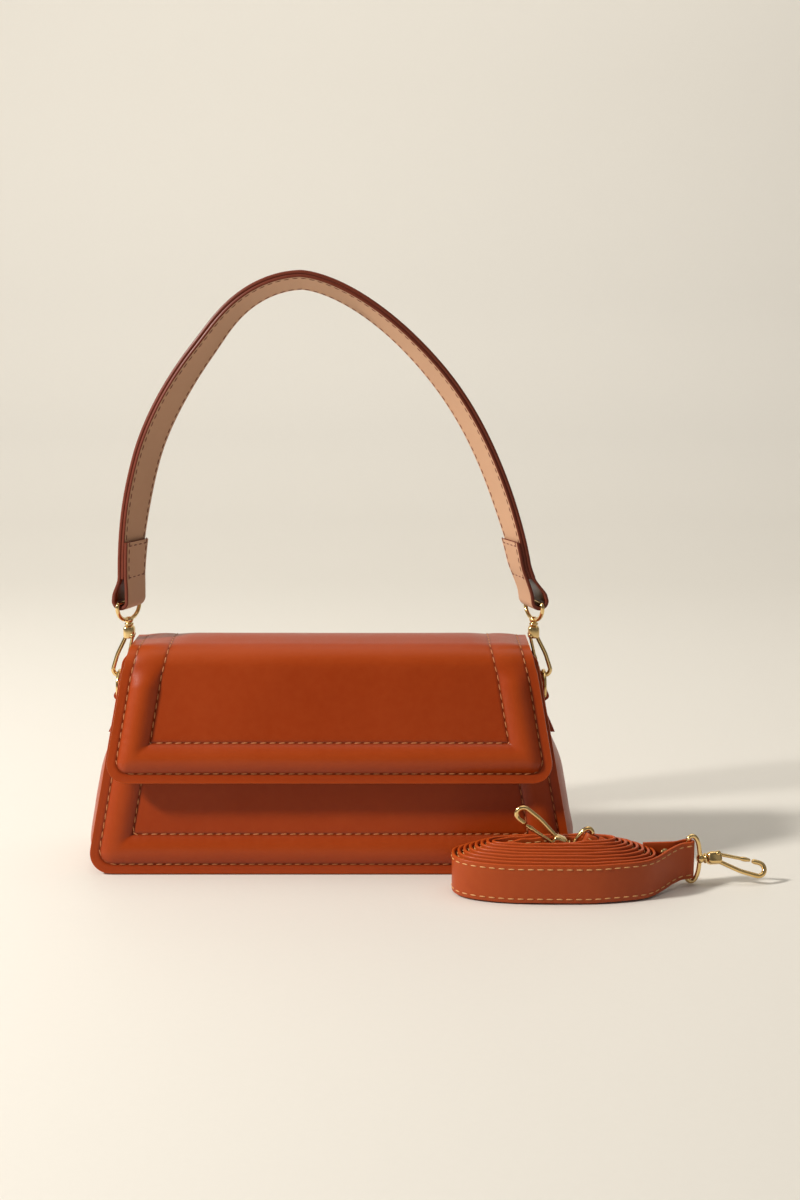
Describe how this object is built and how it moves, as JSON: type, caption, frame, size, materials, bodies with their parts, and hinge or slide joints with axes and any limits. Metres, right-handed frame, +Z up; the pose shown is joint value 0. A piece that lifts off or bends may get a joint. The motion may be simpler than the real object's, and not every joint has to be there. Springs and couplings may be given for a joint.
{
  "type": "baguette bag",
  "caption": "Flap shoulder bag of smooth tan leather with padded borders, a clip-on arched handle on gold clasps and a coiled long strap.",
  "frame": {"origin": "middle of the base's underside, on the floor", "axes": "+X to the right along the bag's length, -Y towards the front, +Z up"},
  "size_m": [0.3605, 0.116, 0.3161],
  "materials": {
    "smooth_leather": "smooth, soft gloss",
    "dark_leather": "smooth, soft gloss",
    "strap_leather": "smooth, soft gloss",
    "lining_leather": "matt, fine grain",
    "lining_cloth": "plain weave",
    "stiffener": "plain board",
    "foam": "soft foam",
    "gold_metal": "polished, pale gold"
  },
  "bodies": {
    "bag": {"front_panel": "smooth_leather", "front_padding": "foam", "front_board": "stiffener", "back_panel": "smooth_leather", "back_padding": "foam", "back_board": "stiffener", "base_panel": "smooth_leather", "base_board": "stiffener", "gusset_left": "smooth_leather", "gusset_right": "smooth_leather", "lining": "lining_cloth", "snap_socket": "gold_metal", "snap_washer": "gold_metal", "tab_left": "smooth_leather", "tab_right": "smooth_leather"},
    "flap_body": {"flap": "smooth_leather", "flap_padding": "foam", "flap_board": "stiffener", "flap_lining": "lining_cloth", "snap_stud": "gold_metal"},
    "side_ring_left": {"ring_left": "gold_metal"},
    "side_ring_right": {"ring_right": "gold_metal"},
    "handle": {"handle_strap": "dark_leather", "handle_lining": "lining_leather", "eye_left": "gold_metal", "eye_right": "gold_metal"},
    "clasp_left": {"hook_left": "gold_metal", "gate_pin_left": "gold_metal"},
    "clasp_right": {"hook_right": "gold_metal", "gate_pin_right": "gold_metal"},
    "clasp_gate_left": {"gate_left": "gold_metal"},
    "clasp_gate_right": {"gate_right": "gold_metal"},
    "strap": {"long_strap": "strap_leather", "tail_rivet": "gold_metal", "eye_outer": "gold_metal", "eye_inner": "gold_metal"},
    "clasp_outer": {"hook_outer": "gold_metal", "gate_pin_outer": "gold_metal"},
    "clasp_gate_outer": {"gate_outer": "gold_metal"},
    "clasp_inner": {"hook_inner": "gold_metal", "gate_pin_inner": "gold_metal"},
    "clasp_gate_inner": {"gate_inner": "gold_metal"}
  },
  "joints": [
    {"name": "flap_fold", "type": "hinge", "parent": "bag", "child": "flap_body", "pos_m": [0, 0.0187, 0.11215], "axis": [-1, 0, 0], "range_deg": [0, 35]},
    {"name": "handle_swing", "type": "hinge", "parent": "bag", "child": "handle", "pos_m": [0, 0, 0.095], "axis": [-1, 0, 0], "range_deg": [0, 30]},
    {"name": "ring_tilt_left", "type": "hinge", "parent": "bag", "child": "side_ring_left", "pos_m": [-0.1148, 0, 0.0907], "axis": [0, -1, 0], "range_deg": [0, 2]},
    {"name": "ring_tilt_right", "type": "hinge", "parent": "bag", "child": "side_ring_right", "pos_m": [0.1148, 0, 0.0907], "axis": [0, 1, 0], "range_deg": [0, 2]},
    {"name": "swivel_left", "type": "hinge", "parent": "handle", "child": "clasp_left", "pos_m": [-0.109, 0, 0.125], "axis": [0, 0, 1], "range_deg": [-6, 6]},
    {"name": "swivel_right", "type": "hinge", "parent": "handle", "child": "clasp_right", "pos_m": [0.109, 0, 0.125], "axis": [0, 0, 1], "range_deg": [-6, 6]},
    {"name": "gate_hinge_left", "type": "hinge", "parent": "clasp_left", "child": "clasp_gate_left", "pos_m": [-0.1071, 0, 0.1231], "axis": [0, 1, 0], "range_deg": [0, 11], "stiffness_Nm_per_rad": 0.01},
    {"name": "gate_hinge_right", "type": "hinge", "parent": "clasp_right", "child": "clasp_gate_right", "pos_m": [0.1071, 0, 0.1231], "axis": [0, -1, 0], "range_deg": [0, 11], "stiffness_Nm_per_rad": 0.01},
    {"name": "strap_lift", "type": "slide", "parent": "bag", "child": "strap", "axis": [0, -0.7071, 0.7071], "range_m": [0, 0.12]},
    {"name": "swivel_outer", "type": "hinge", "parent": "strap", "child": "clasp_outer", "pos_m": [0.18709, -0.04936, 0.0137], "axis": [0.995, 0.0995, 0], "range_deg": [-12, 6]},
    {"name": "gate_hinge_outer", "type": "hinge", "parent": "clasp_outer", "child": "clasp_gate_outer", "pos_m": [0.20275, -0.04681, 0.01554], "axis": [-0.0879, 0.8786, -0.4695], "range_deg": [0, 11], "stiffness_Nm_per_rad": 0.01},
    {"name": "swivel_inner", "type": "hinge", "parent": "strap", "child": "clasp_inner", "pos_m": [0.132, -0.05875, 0.02081], "axis": [-0.9272, 0, 0.3746], "range_deg": [-10, 10]},
    {"name": "gate_hinge_inner", "type": "hinge", "parent": "clasp_inner", "child": "clasp_gate_inner", "pos_m": [0.11653, -0.05875, 0.02481], "axis": [0, 1, 0], "range_deg": [0, 11], "stiffness_Nm_per_rad": 0.01}
  ]
}
